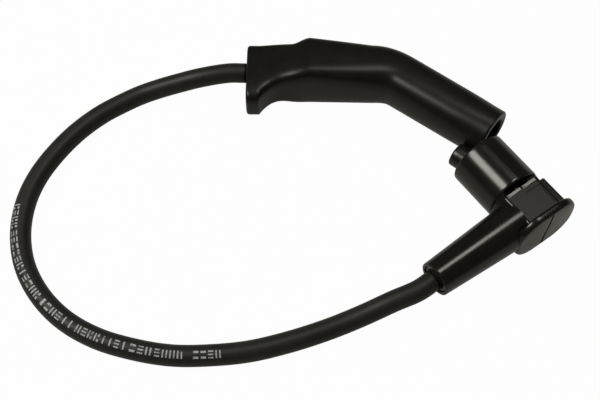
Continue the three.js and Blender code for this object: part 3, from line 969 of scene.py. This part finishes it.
def add_mix(tree, share, first, second, kind):
    """Between two values of a kind, which has its own sockets on the Mix node."""
    mixed = tree.nodes.new("ShaderNodeMix")
    mixed.data_type = kind
    one, other, result = {"FLOAT": (2, 3, 0), "RGBA": (6, 7, 2)}[kind]
    feed(tree, share, mixed.inputs[0])
    feed(tree, first, mixed.inputs[one])
    feed(tree, second, mixed.inputs[other])
    return mixed.outputs[result]


tree = plastic_finish.node_tree
shader = tree.nodes["Principled BSDF"]
mask = tree.nodes.new("ShaderNodeAttribute")
mask.attribute_name = "grain"
for target, value, kind in (
        (shader.inputs["Roughness"], grained_roughness, "FLOAT"),
        (shader.inputs["Base Color"], grained_colour, "RGBA")):
    plain = target.links[0].from_socket
    tree.links.new(add_mix(tree, mask.outputs["Fac"], plain, value, kind), target)
print("grained faces mixed into", plastic_finish.name)

# %% Finishes on the solids that stay
def dress(node, material):
    node_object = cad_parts[node]
    if not node_object.data.materials:
        node_object.data.materials.append(material)
    for slot in node_object.material_slots:
        slot.material = material


node_finishes = {
    "plug_cable_end": cable_finish,
    "plug_cable_core": copper_finish,
    "plug_terminal": terminal_finish,
    "plug_terminal_clip": spring_finish,
    "elbow_contact": brass_finish,
    "elbow_crimp_terminal": terminal_finish,
    "elbow_cable_end": cable_finish,
    "elbow_cable_core": copper_finish,
    "cable_seal": nozzle_finish,
}
for node, material in node_finishes.items():
    dress(node, material)
print("dressed", len(node_finishes), "solids")

# %% Ink
worn_ink, full_ink = (0.12, 0.12, 0.115), (0.42, 0.42, 0.40)
ink_finish, tree, shader = new_finish("white_ink", full_ink, 0.55)
where = tree.nodes.new("ShaderNodeTexCoord")
wear = add_noise(tree, where.outputs["Object"], 900)
tree.links.new(add_ramp(tree, wear, ((0.34, worn_ink), (0.50, full_ink))),
               shader.inputs["Base Color"])
add_bump(tree, shader, wear, 0.1, 0.05 * MM)
print("ink", ink_finish.name)

# %% New pieces join the frame
for piece, finish, slot, nodes in (
        (boot, boot_finish, "boot_rubber", ["plug_boot"]),
        (connector, plastic_finish, "connector_plastic", ["elbow_shell"]),
        (nozzle, nozzle_finish, "nozzle_rubber", ["elbow_nozzle"]),
        (cable_print, ink_finish, "cable_jacket", []),
):
    piece.data.materials.clear()
    piece.data.materials.append(finish)
    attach(piece, "root")
    if nodes:
        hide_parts(*nodes)
    print(piece.name, "in slot", slot, "stands for", nodes)

# %% Cable joins the frame
cable.data.materials.append(cable_finish)
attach(cable, "root")
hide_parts("ignition_cable")
print("cord of", round(cable_length / MM, 1), "mm joined")

# %% [markdown]
# ## Table and light
#
# Black rubber and plastic show little but their highlights, so the lights are placed by
# them. A broad soft light to the left makes the wide stripe on the barrel, and a weaker one
# almost overhead makes the thin stripe on the sleeve. The floor is mid grey and keeps the
# lead's faint shadow. It looks white through a glow that the camera sees almost in full and
# reflections see in part, a little warmer, so no more light has to fall on the lead.

# %% Floor
floor_size = 6.0
floor_colour = (0.42, 0.41, 0.37)
# How much of the white glow each kind of ray sees
glow_shares = (("Is Camera Ray", 0.98), ("Is Glossy Ray", 0.24), ("Is Transmission Ray", 0.10))
glow_to_camera, glow_in_reflections = (1.0, 1.0, 1.0, 1.0), (1.0, 0.97, 0.86, 1.0)


def add_math(tree, operation, first, second):
    worked = tree.nodes.new("ShaderNodeMath")
    worked.operation = operation
    feed(tree, first, worked.inputs[0])
    feed(tree, second, worked.inputs[1])
    return worked.outputs["Value"]


bpy.ops.mesh.primitive_plane_add(size=floor_size, location=(0, 0, -0.02 * MM))
floor = bpy.context.object
floor.name = "floor"
floor_finish, tree, shader = new_finish("pale_floor", floor_colour, 0.9)
glow = tree.nodes.new("ShaderNodeEmission")
ray = tree.nodes.new("ShaderNodeLightPath")
blend = tree.nodes.new("ShaderNodeMixShader")
glow_share = 0.0
for rays, share in glow_shares:
    part = add_math(tree, "MULTIPLY", ray.outputs[rays], share)
    glow_share = add_math(tree, "MAXIMUM", glow_share, part)
glow_colour = add_mix(
    tree, ray.outputs["Is Camera Ray"], glow_in_reflections, glow_to_camera, "RGBA")
tree.links.new(glow_colour, glow.inputs["Color"])
tree.links.new(glow_share, blend.inputs["Fac"])
tree.links.new(shader.outputs["BSDF"], blend.inputs[1])
tree.links.new(glow.outputs["Emission"], blend.inputs[2])
tree.links.new(blend.outputs["Shader"], tree.nodes["Material Output"].inputs["Surface"])
floor.data.materials.append(floor_finish)
print("floor at", floor.location.z / MM, "mm")

# %% Light
def add_softbox(name, toward, distance, size, power):
    """A square soft light that looks at the middle of the lead."""
    light = bpy.data.objects.new(name, bpy.data.lights.new(name, "AREA"))
    bpy.context.scene.collection.objects.link(light)
    light.data.shape = "SQUARE"
    light.data.size = size
    light.data.energy = power
    direction = Vector(toward).normalized()
    light.location = look_at + direction * distance
    light.rotation_euler = direction.to_track_quat("Z", "Y").to_euler()


add_softbox("left_light", toward=(-0.45, -0.34, 0.826), distance=1.2, size=0.46, power=8.6)
add_softbox("top_light", toward=(0.03, 0.30, 0.95), distance=1.2, size=0.30, power=2.7)
world = bpy.data.worlds.new("room")
bpy.context.scene.world = world
world.use_nodes = True
background = world.node_tree.nodes["Background"]
background.inputs["Color"].default_value = (1, 1, 1, 1)
background.inputs["Strength"].default_value = 0.08
bpy.context.scene.view_settings.view_transform = "Standard"
print("lights", [light.name for light in bpy.data.lights])
